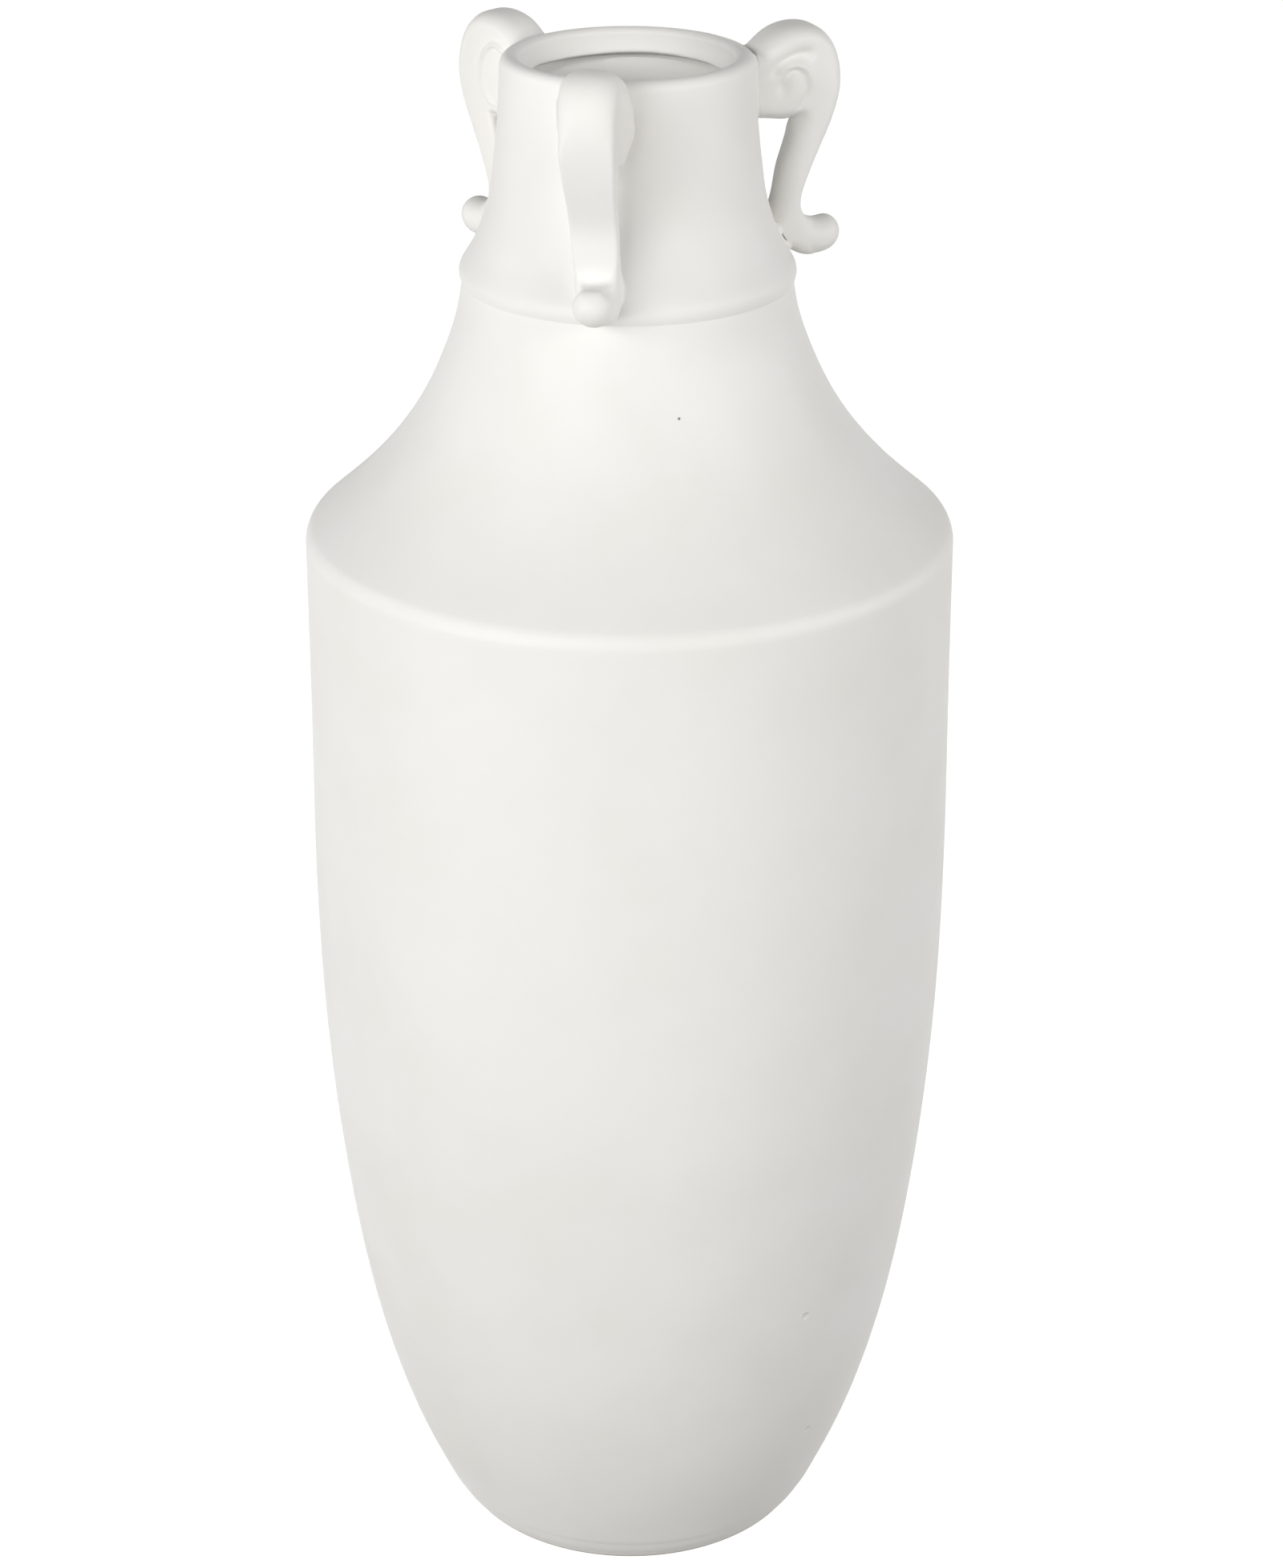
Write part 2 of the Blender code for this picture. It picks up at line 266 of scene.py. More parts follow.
def beside(path: Path, depth: float) -> Path:
    """Return an open path moved to its left by a depth, such as the inside of a wall.

    Args:
        path: The path to follow.
        depth: How far to move.

    Returns:
        The moved path, point for point.
    """
    places = np.array(path)
    along = np.gradient(places, axis=0)
    along /= np.linalg.norm(along, axis=1)[:, None]
    moved = places + depth * np.stack([-along[:, 1], along[:, 0]], axis=1)
    return [(float(a), float(b)) for a, b in moved]


def between(path: Path, low: float, high: float) -> Path:
    """Return the points of a path that lie between two heights."""
    return [point for point in path if low < point[1] < high]


def ease(values: np.ndarray, start: float, end: float) -> np.ndarray:
    """Return a soft step from 0 at the start to 1 at the end."""
    share = np.clip((values - start) / (end - start), 0.0, 1.0)
    return share * share * (3.0 - 2.0 * share)


def line_distance(places: np.ndarray, line: np.ndarray) -> tuple[np.ndarray, np.ndarray, np.ndarray]:
    """Measure places against an open line of points.

    Args:
        places: One row of two numbers for each place.
        line: The line's points, in order.

    Returns:
        How far each place lies from the line, which side it is on (above zero on the left), and
        how far along the line its nearest point lies.
    """
    starts, steps = line[:-1], np.diff(line, axis=0)
    lengths = np.linalg.norm(steps, axis=1)
    passed = np.concatenate([[0.0], np.cumsum(lengths)])
    apart = np.full(len(places), np.inf)
    side = np.zeros(len(places))
    along = np.zeros(len(places))
    for start, step, length, before in zip(starts, steps, lengths, passed):
        offset = places - start
        share = np.clip(offset @ step / length ** 2, 0.0, 1.0)
        distance = np.linalg.norm(offset - share[:, None] * step, axis=1)
        nearer = distance < apart
        apart = np.where(nearer, distance, apart)
        side = np.where(nearer, step[0] * offset[:, 1] - step[1] * offset[:, 0], side)
        along = np.where(nearer, before + share * length, along)
    return apart, side, along


def drawn(points: Path) -> bpy.types.Object:
    """Draw a closed line by extruding one vertex from point to point.

    The line stands in the plane x = 0, with its radius towards -Y, and edit mode stays on.

    Args:
        points: Radius and height in millimetres.

    Returns:
        The object, with its closed chain of edges.
    """
    bpy.ops.object.select_all(action="DESELECT")
    bpy.ops.mesh.primitive_plane_add(size=MM, enter_editmode=True)
    piece = bpy.context.object
    bpy.ops.mesh.merge(type="CENTER")
    places = [Vector((0.0, -radius * MM, height * MM)) for radius, height in points + points[:1]]
    bpy.ops.transform.translate(value=places[0])
    for start, end in zip(places, places[1:]):
        bpy.ops.mesh.extrude_region_move(TRANSFORM_OT_translate={"value": end - start})
    bpy.ops.mesh.select_all(action="SELECT")
    bpy.ops.mesh.remove_doubles(threshold=MERGE_DISTANCE)
    return piece


def turned(section: Path, steps: int = TURN_STEPS) -> bpy.types.Object:
    """Spin a closed section round the axis, as on a wheel.

    Args:
        section: Radius and height in millimetres, as a closed line.
        steps: How many facets go round.

    Returns:
        The closed solid, shaded smooth.
    """
    piece = drawn(section)
    bpy.ops.mesh.select_all(action="SELECT")
    bpy.ops.mesh.spin(steps=steps, angle=math.tau, center=(0.0, 0.0, 0.0), axis=(0.0, 0.0, 1.0))
    bpy.ops.mesh.select_all(action="SELECT")
    bpy.ops.mesh.remove_doubles(threshold=MERGE_DISTANCE)
    bpy.ops.mesh.dissolve_degenerate(threshold=MERGE_DISTANCE)
    bpy.ops.mesh.normals_make_consistent(inside=False)
    bpy.ops.object.mode_set(mode="OBJECT")
    pick(piece)
    bpy.ops.object.shade_smooth_by_angle(angle=SHARP_EDGE)
    return piece


def read_points(piece: bpy.types.Object, kind: str = "co") -> np.ndarray:
    """Return a piece's vertex places in metres, or its vertex normals.

    Args:
        piece: The piece to read.
        kind: "co" for places, "normal" for normals.

    Returns:
        One row of three numbers for each vertex.
    """
    values = np.empty(3 * len(piece.data.vertices))
    piece.data.vertices.foreach_get(kind, values)
    return values.reshape(-1, 3)


def write_points(piece: bpy.types.Object, places: np.ndarray) -> None:
    """Move a piece's vertices to new places in metres."""
    piece.data.vertices.foreach_set("co", np.ascontiguousarray(places).ravel())
    piece.data.update()


def finish_piece(piece: bpy.types.Object, node: str, slot: Slot, *materials: bpy.types.Material) -> None:
    """Name a piece, give it its finish, and let it ride on the frame and stand for its node.

    Args:
        piece: The finished piece.
        node: The frame's node that it stands for.
        slot: The record's slot for its finish; not used.
        materials: Its materials, in slot order.
    """
    piece.name = piece.data.name = f"fired_{node}"
    for material in materials:
        piece.data.materials.append(material)
    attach(piece, BODY)
    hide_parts(node)
    LOG.info("%s: %d faces", piece.name, len(piece.data.polygons))


@dataclass(frozen=True)
class Blemish:
    """One firing mark, by its turn round the axis from the front and its place on the wall."""

    kind: Mark
    turn: float
    radius: float
    height: float
    size: float

    def place(self) -> Vector:
        """Work out where the mark lies.

        Returns:
            Its place in metres.
        """
        angle = math.radians(self.turn)
        across, along = math.sin(angle) * self.radius, -math.cos(angle) * self.radius
        return Vector((across, along, self.height)) * MM


@dataclass(frozen=True)
class SatinGlaze:
    """Satin white tin glaze over earthenware, sprayed and fired.

    It gives the eye a broad soft sheen, a faint warm cloudiness where the coat is thinner, a skin
    like fine orange peel, and a few specks and shallow dimples from the firing.
    """

    name: str = "satin_white_tin_glaze"
    thick: str = "#F3F2EF"
    thin: str = "#F1EFEA"
    iron: str = "#6E5C45"
    roughness: float = 0.46
    roughness_drift: float = 0.07
    sheen_level: float = 0.3
    cloud_size: float = 46.0
    cloud_limits: Point = (0.38, 0.68)
    peel_size: float = 1.6
    peel_depth: float = 0.012
    ripple_size: float = 11.0
    ripple_depth: float = 0.05
    dimple_depth: float = 0.35
    mark_core: float = 0.3
    blemishes: tuple[Blemish, ...] = ()

    def build(self) -> bpy.types.Material:
        """Build the material's nodes.

        Returns:
            The finished material.
        """
        material, tree, surface = new_material(self.name)
        place = add_node(tree, "ShaderNodeTexCoord").outputs["Object"]
        clouds = lumps(tree, place, self.cloud_size, 3.0)
        thinness = add_node(
            tree, "ShaderNodeMapRange",
            {"Value": clouds, "From Min": self.cloud_limits[0], "From Max": self.cloud_limits[1]},
        ).outputs["Result"]
        colour = blend(tree, thinness, hex_colour(self.thick), hex_colour(self.thin))
        height = self._skin(tree, place)
        for blemish in self.blemishes:
            mask = self._mask(tree, place, blemish)
            if blemish.kind is Mark.SPECK:
                colour = blend(tree, mask, colour, hex_colour(self.iron))
            else:
                height = add_node(
                    tree, "ShaderNodeMath", {0: mask, 1: -self.dimple_depth * MM, 2: height},
                    operation="MULTIPLY_ADD",
                ).outputs["Value"]
        bump = add_node(
            tree, "ShaderNodeBump", {"Height": height, "Strength": 1.0, "Distance": 1.0},
        ).outputs["Normal"]
        gloss = add_node(
            tree, "ShaderNodeMapRange",
            {"Value": clouds, "To Min": self.roughness - self.roughness_drift,
             "To Max": self.roughness + self.roughness_drift},
        ).outputs["Result"]
        shader = add_node(
            tree, "ShaderNodeBsdfPrincipled",
            {"Base Color": colour, "Roughness": gloss, "IOR": REFRACTION, "Normal": bump,
             "Specular IOR Level": self.sheen_level},
        )
        tree.links.new(shader.outputs["BSDF"], surface)
        return material

    def _mask(
        self, tree: bpy.types.NodeTree, place: bpy.types.NodeSocket, blemish: Blemish,
    ) -> bpy.types.NodeSocket:
        """Add a round mask for one firing mark.

        Args:
            tree: The material's tree.
            place: The object coordinates.
            blemish: The mark.

        Returns:
            A socket that is 1 in the mark's core and 0 outside the mark.
        """
        near = add_node(
            tree, "ShaderNodeVectorMath", {0: place, 1: blemish.place()}, operation="DISTANCE",
        ).outputs["Value"]
        return add_node(
            tree, "ShaderNodeMapRange",
            {"Value": near, "From Min": self.mark_core * blemish.size * MM,
             "From Max": blemish.size * MM, "To Min": 1.0, "To Max": 0.0},
            interpolation_type="SMOOTHSTEP",
        ).outputs["Result"]

    def _skin(self, tree: bpy.types.NodeTree, place: bpy.types.NodeSocket) -> bpy.types.NodeSocket:
        """Add the fine peel and the slow ripple of the coat.

        Args:
            tree: The material's tree.
            place: The object coordinates.

        Returns:
            The height socket, in metres.
        """
        peel = lumps(tree, place, self.peel_size, 2.0)
        ripple = lumps(tree, place, self.ripple_size, 1.0)
        fine = add_node(
            tree, "ShaderNodeMath", {0: peel, 1: self.peel_depth * MM}, operation="MULTIPLY",
        ).outputs["Value"]
        return add_node(
            tree, "ShaderNodeMath", {0: ripple, 1: self.ripple_depth * MM, 2: fine},
            operation="MULTIPLY_ADD",
        ).outputs["Value"]


@dataclass(frozen=True)
class FiredClay:
    """Bare clay without glaze, wiped with a sponge.

    It gives the eye a dull warm surface with fine sandy grain.
    """

    name: str
    pale: str
    dark: str
    roughness: float
    grain_size: float = 1.1
    grain_limits: Point = (0.4, 0.7)
    grain_depth: float = 0.06

    def build(self) -> bpy.types.Material:
        """Build the material's nodes.

        Returns:
            The finished material.
        """
        material, tree, surface = new_material(self.name)
        place = add_node(tree, "ShaderNodeTexCoord").outputs["Object"]
        grain = lumps(tree, place, self.grain_size, 4.0)
        share = add_node(
            tree, "ShaderNodeMapRange",
            {"Value": grain, "From Min": self.grain_limits[0], "From Max": self.grain_limits[1]},
        ).outputs["Result"]
        colour = blend(tree, share, hex_colour(self.pale), hex_colour(self.dark))
        bump = add_node(
            tree, "ShaderNodeBump",
            {"Height": grain, "Strength": 1.0, "Distance": self.grain_depth * MM},
        ).outputs["Normal"]
        shader = add_node(
            tree, "ShaderNodeBsdfPrincipled",
            {"Base Color": colour, "Roughness": self.roughness, "IOR": REFRACTION, "Normal": bump},
        )
        tree.links.new(shader.outputs["BSDF"], surface)
        return material


@dataclass
class Kiln:
    """The finishes that the pieces share, fired once."""

    glaze: bpy.types.Material
    bare: bpy.types.Material
    slip: bpy.types.Material


@dataclass(frozen=True)
class Joint:
    """A rebated joint between two turned sections, filled with a ring of slip.

    The outer skins of the two sections meet, so the glaze runs over the joint unbroken.
    """

    radius: float
    wall: float
    height: float
    spigot: float = 3.0
    bed: float = 1.6
    skin: float = 1.2
    gap: float = 0.3

    @property
    def inner(self) -> float:
        """Return the radius of the inside wall."""
        return self.radius - self.wall

    @property
    def middle(self) -> float:
        """Return the radius of the spigot's side."""
        return self.radius - 0.5 * self.wall

    @property
    def meeting(self) -> float:
        """Return the height at which the two skins meet."""
        return self.height + 0.5 * self.bed

    @property
    def top(self) -> float:
        """Return the height of the spigot's top."""
        return self.height + self.spigot

    def lower_end(self) -> Path:
        """Draw the top of the lower section.

        Returns:
            Its points, from outside to inside.
        """
        lip = self.radius - self.skin
        return [
            (self.radius, self.meeting), (lip, self.meeting), (lip, self.height),
            (self.middle, self.height), (self.middle, self.top), (self.inner, self.top),
        ]

    def upper_end(self) -> Path:
        """Draw the bottom of the upper section.

        Returns:
            Its points, from inside to outside.
        """
        lip = self.radius - self.skin
        ceiling = self.height + self.bed
        return [
            (self.inner, self.top), (self.middle, self.top), (self.middle, ceiling),
            (lip, ceiling), (lip, self.meeting), (self.radius, self.meeting),
        ]

    def ring(self) -> Path:
        """Draw the section of the slip ring that fills the joint.

        Returns:
            Its four corners.
        """
        inner, outer = self.middle + 0.5 * self.gap, self.radius - self.skin - 0.5 * self.gap
        low, high = self.height + self.gap, self.height + self.bed - self.gap
        return [(inner, low), (outer, low), (outer, high), (inner, high)]


@dataclass
class Vessel:
    """The five turned sections of the vase and the slip rings between them."""

    kiln: Kiln
    spacing: float = 2.4
    fine_spacing: float = 0.8
    foot_radius: float = 66.6
    foot_edge: float = 4.0
    heel: Point = (73.2, 6.2)
    # A face of the foot that points down more than this is left bare
    downward: float = -0.6
    recess_radius: float = 55.0
    recess_depth: float = 2.0
    floor_top: float = 13.0
    floor_wall: float = 8.0
    shoulder_wall: float = 7.0
    neck_wall: float = 6.2
    floor_bed: float = 10.0
    arris_bed: float = 407.0
    collar_bed: float = 507.8
    mouth_bed: float = 576.6
    joint_margin: float = 1.0
    inside_start: float = 23.0
    shoulder_inside: float = 2.0
    neck_inside: float = 3.0
    ring_bevel: float = 0.25
    arris_rounding: float = 9.0
    arris_height: float = 410.5
    arris_sweep: float = 50.0
    rim_height: float = 590.4
    rim_apex: float = 41.6
    rim_crown: float = 3.8
    rim_draw_in: float = 0.4
    rim_roll: Point = (3.5, 2.3)
    rim_roll_end: float = 166.0
    bore: float = 34.8
    bore_swell: float = 0.6
    lip_height: float = 582.8
    lip_edge: float = 1.0
    lip_band: float = 3.0
    lip_wave: float = 0.8
    lip_wave_length: float = 20.88
    rim_still: float = 2.0
    ledge_height: float = 580.6
    unevenness: float = 0.14
    wave: float = 55.0
    still_radius: float = 30.0
    neck_shift: Point = (-0.54, -0.10)
    shift_low: float = 430.0
    shift_high: float = 505.0
    body_points: Path = field(default_factory=lambda: [
        (75.7, 10.0), (85.6, 32.7), (94.3, 57.2), (104.8, 98.6), (111.8, 141.5), (116.6, 183.6),
        (119.4, 224.3), (120.8, 280.0), (120.3, 345.0), (120.1, 407.8),
    ])
    shoulder_points: Path = field(default_factory=lambda: [
        (116.9, 417.4), (103.9, 428.9), (88.3, 445.5), (77.1, 461.3), (67.1, 481.8),
        (61.2, 500.6), (60.0, 508.6),
    ])
    neck_points: Path = field(default_factory=lambda: [
        (60.0, 508.6), (60.8, 510.6), (60.9, 513.0), (58.9, 517.2), (54.9, 524.0), (52.2, 531.2),
        (49.9, 539.0), (48.2, 550.0), (46.8, 562.0), (45.75, 577.4),
    ])

    def __post_init__(self) -> None:
        """Work out the joints and the outer curves."""
        self.floor_joint = Joint(self.body_points[0][0], self.floor_wall, self.floor_bed)
        self.arris_joint = Joint(self.body_points[-1][0], self.shoulder_wall, self.arris_bed)
        self.collar_joint = Joint(self.neck_points[0][0], self.shoulder_wall, self.collar_bed)
        self.mouth_joint = Joint(self.neck_points[-1][0], self.neck_wall, self.mouth_bed)
        self.body_path = smooth_curve(self.body_points, self.spacing)
        self.shoulder_path = smooth_curve(self.shoulder_points, self.spacing)
        self.neck_path = smooth_curve(self.neck_points, self.fine_spacing)

    def crown(self) -> Path:
        """Draw the outer half of the rim's roll.

        Returns:
            Its points, from the wall up to its top.
        """
        outer = self.mouth_joint.radius - self.rim_draw_in
        centre = (self.rim_apex, self.rim_height - self.rim_crown)
        return arc(centre, (outer - self.rim_apex, self.rim_crown), 0.0, 90.0, 14)

    def skin(self, height: np.ndarray) -> np.ndarray:
        """Return the outer radius of the neck and rim at some heights, in millimetres."""
        outline = np.array(self.neck_path + self.crown())
        return np.interp(height, outline[:, 1], outline[:, 0])

    def thrown(self, piece: bpy.types.Object) -> None:
        """Push a turned piece in and out a little, as a wall pulled up by hand is.

        Args:
            piece: The piece to push, true to the axis.
        """
        places = read_points(piece)
        waves = [noise.noise(Vector(place) / (self.wave * MM)) for place in places]
        radius = np.hypot(places[:, 0], places[:, 1])
        push = self.unevenness * MM * np.array(waves) * ease(radius, 0.0, self.still_radius * MM)
        places[:, :2] *= (1.0 + push / np.maximum(radius, MM))[:, None]
        write_points(piece, places)
        self.shift(piece)

    def shift(self, piece: bpy.types.Object) -> None:
        """Set the neck and all above it a little off the axis, as it was joined by hand.

        Args:
            piece: The piece to move.
        """
        places = read_points(piece)
        share = ease(places[:, 2] / MM, self.shift_low, self.shift_high)
        places[:, :2] += np.array(self.neck_shift) * MM * share[:, None]
        write_points(piece, places)

    def base_floor(self) -> bpy.types.Object:
        """Make the floor disc with its flat foot ring and shallow recess, bare below.

        Returns:
            The closed piece.
        """
        joint = self.floor_joint
        edge = arc((self.foot_radius, self.foot_edge), (self.foot_edge,) * 2, -90.0, -20.0, 8)
        section = [(0.0, self.recess_depth), (self.recess_radius, self.recess_depth)]
        section.append((self.recess_radius + self.recess_depth, 0.0))
        section += edge
        section += smooth_curve([edge[-1], self.heel, joint.lower_end()[0]], self.fine_spacing)[1:-1]
        section += joint.lower_end()[:-1]
        section.append((0.0, self.floor_top))
        piece = turned(section)
        for face in piece.data.polygons:
            below = face.center.z < 0.5 * self.foot_edge * MM and face.normal.z < self.downward
            recess = face.center.z < self.recess_depth * MM + MERGE_DISTANCE and face.normal.z < 0.0
            face.material_index = 1 if below or recess else 0
        return piece

    def body_wall(self) -> bpy.types.Object:
        """Make the long swelling wall from the foot to the arris.

        Returns:
            The closed piece.
        """
        inside = beside(self.body_path, self.floor_joint.wall)
        low = self.floor_joint.meeting + self.joint_margin
        high = self.arris_joint.meeting - self.joint_margin
        section = self.floor_joint.upper_end()
        section += between(self.body_path, low, high)
        section += self.arris_joint.lower_end()
        section += reversed(between(inside, self.inside_start, self.arris_joint.height))
        return turned(section)

    def shoulder(self) -> bpy.types.Object:
        """Make the shoulder with its rounded arris and hollow slope.

        Returns:
            The closed piece.
        """
        rounding = arc(
            (self.arris_joint.radius - self.arris_rounding, self.arris_height),
            (self.arris_rounding,) * 2, 0.0, self.arris_sweep, 12,
        )
        outside = rounding + self.shoulder_path[1:]
        inside = beside(outside, self.arris_joint.wall)
        section = self.arris_joint.upper_end()
        section += outside[:-1]
        section += self.collar_joint.lower_end()
        low = self.arris_joint.top + self.shoulder_inside
        section += reversed(between(inside, low, self.collar_joint.height))
        return turned(section)

    def neck(self) -> bpy.types.Object:
        """Make the flared neck with the rolled collar at its foot.

        Returns:
            The closed piece.
        """
        inside = beside(self.neck_path, self.mouth_joint.wall)
        section = self.collar_joint.upper_end()
        section += self.neck_path[1:-1]
        section += self.mouth_joint.lower_end()
        low = self.collar_joint.top + self.neck_inside
        section += reversed(between(inside, low, self.mouth_joint.height))
        return turned(section)

    def mouth_ring(self) -> bpy.types.Object:
        """Make the thick rolled ring of the mouth: a broad top, a steep inside and a ledge.

        Returns:
            The closed piece.
        """
        joint = self.mouth_joint
        roll_centre = (self.rim_apex, self.rim_height - self.rim_roll[1])
        roll = arc(roll_centre, self.rim_roll, 90.0, self.rim_roll_end, 12)
        under = arc(
            (self.bore + self.lip_edge, self.lip_height), (self.lip_edge,) * 2, 180.0, 270.0, 5,
        )
        middle_radius = 0.5 * (roll[-1][0] + self.bore) - self.bore_swell
        middle = (middle_radius, 0.5 * (roll[-1][1] + self.lip_height))
        inside = smooth_curve([roll[-1], middle, under[0]], self.fine_spacing)
        section = joint.upper_end()[1:]
        section += self.crown()
        section += roll[1:-1]
        section += inside
        section += under[1:]
        section.append((joint.inner, self.ledge_height))
        section.append(joint.upper_end()[0])
        piece = turned(section)
        self.wave_lip(piece)
        return piece

    def wave_lip(self, piece: bpy.types.Object) -> None:
        """Let the mouth's lower edge wander up and down, as one cut by hand does.

        Args:
            piece: The mouth ring.
        """
        places = read_points(piece)
        radius = np.hypot(places[:, 0], places[:, 1]) / MM
        inside = 1.0 - ease(radius, self.bore, self.bore + self.lip_band)
        low = 1.0 - ease(places[:, 2] / MM, self.lip_height, self.rim_height - self.rim_still)
        waves = [noise.noise(Vector((x, y, 0.0)) / (self.lip_wave_length * MM)) for x, y, _ in places]
        places[:, 2] += self.lip_wave * MM * np.array(waves) * inside * low
        write_points(piece, places)

    def build(self) -> None:
        """Make and finish every turned piece."""
        floor = self.base_floor()
        self.thrown(floor)
        finish_piece(floor, "base_floor", Slot.FOOT, self.kiln.glaze, self.kiln.bare)
        for maker in (self.body_wall, self.shoulder, self.neck, self.mouth_ring):
            piece = maker()
            self.thrown(piece)
            finish_piece(piece, maker.__name__, Slot.GLAZE, self.kiln.glaze)
        joints = {
            "base_slip": self.floor_joint, "arris_slip": self.arris_joint,
            "collar_slip": self.collar_joint, "mouth_slip": self.mouth_joint,
        }
        for name, joint in joints.items():
            ring = turned(joint.ring())
            apply_modifier(ring, "BEVEL", width=self.ring_bevel * MM, segments=3, limit_method="ANGLE")
            self.thrown(ring)
            finish_piece(ring, name, Slot.SLIP, self.kiln.slip)


@dataclass(frozen=True)
class Lump:
    """A soft swelling or hollow in a handle's side: its place, its reach and its height."""

    place: Point
    reach: Point
    height: float

    def rise(self, places: np.ndarray) -> np.ndarray:
        """Return how far it lifts the side at each place of radius and height."""
        apart = (places - np.array(self.place)) / np.array(self.reach)
        return self.height * np.exp(-np.sum(apart ** 2, axis=1))


@dataclass(frozen=True)
class Stroke:
    """A ridge or groove drawn with a tool along a line in a handle's side.

    Its widths are those on the line's left and on its right, and it fades out at both ends.
    """

    points: Path
    height: float
    widths: Point
    fades: Point
    spacing: float = 0.7

    def rise(self, places: np.ndarray) -> np.ndarray:
        """Work out how far it lifts the side.

        Args:
            places: Radius and height in millimetres, one row for each place.

        Returns:
            The lift at each place, below zero in a groove.
        """
        line = np.array(smooth_curve(self.points, self.spacing))
        apart, side, along = line_distance(places, line)
        width = np.where(side > 0.0, self.widths[0], self.widths[1])
        shown = ease(along, 0.0, self.fades[0]) * ease(along.max() - along, 0.0, self.fades[1])
        return self.height * shown * np.exp(-(apart / width) ** 2)


# The scroll on the right handle: a broad groove over a ridge that winds round a low boss, with a
# crease inside the ridge that ends in a pressed hollow, the eye
SPIRAL = (
    Stroke(
        [(50.6, 577.6), (51.6, 580.0), (53.6, 582.2), (57.6, 584.8), (61.9, 586.2), (65.0, 585.8),
         (67.6, 583.4)],
        -1.8, (2.0, 2.4), (5.0, 5.0),
    ),
    Stroke(
        [(66.0, 572.0), (65.6, 577.0), (63.6, 581.2), (59.6, 582.8), (56.4, 582.2), (53.7, 580.0),
         (52.2, 577.0)],
        1.4, (1.2, 1.6), (6.0, 7.0),
    ),
    Stroke(
        [(60.6, 565.6), (62.8, 568.6), (64.6, 572.6), (64.5, 576.8), (62.3, 579.9), (59.4, 580.6),
         (57.2, 579.0), (56.2, 576.4)],
        -1.2, (1.1, 0.9), (3.0, 4.0),
    ),
    Lump((55.6, 575.2), (2.2, 2.8), -2.2),
    Lump((59.6, 573.6), (6.0, 7.0), 1.3),
)

# The left handle's scroll: one crisp raised line round a smooth face
RING = (
    Stroke(
        [(57.6, 562.8), (61.8, 565.5), (64.1, 568.6), (65.2, 573.7), (64.5, 578.2), (62.0, 582.7),
         (58.2, 585.6), (54.5, 585.0), (52.0, 581.5)],
        1.1, (0.85, 0.75), (4.0, 4.0),
    ),
    Stroke(
        [(67.3, 572.0), (66.8, 578.6), (63.8, 584.4), (58.6, 587.6), (53.0, 587.4)],
        -0.35, (1.0, 1.6), (5.0, 4.0),
    ),
    Lump((57.5, 574.3), (6.0, 7.0), 0.5),
)

# The front handle's scroll, seen edge on: a full boss with a hollow between it and the strap
BOSS = (
    Lump((57.6, 576.4), (6.2, 7.4), 3.6),
    Lump((59.0, 585.0), (6.0, 5.0), 2.0),
    Stroke(
        [(61.6, 564.4), (66.2, 568.4), (68.4, 574.6), (68.6, 581.4), (67.0, 586.4)],
        -0.7, (1.2, 2.2), (4.0, 6.0),
    ),
)


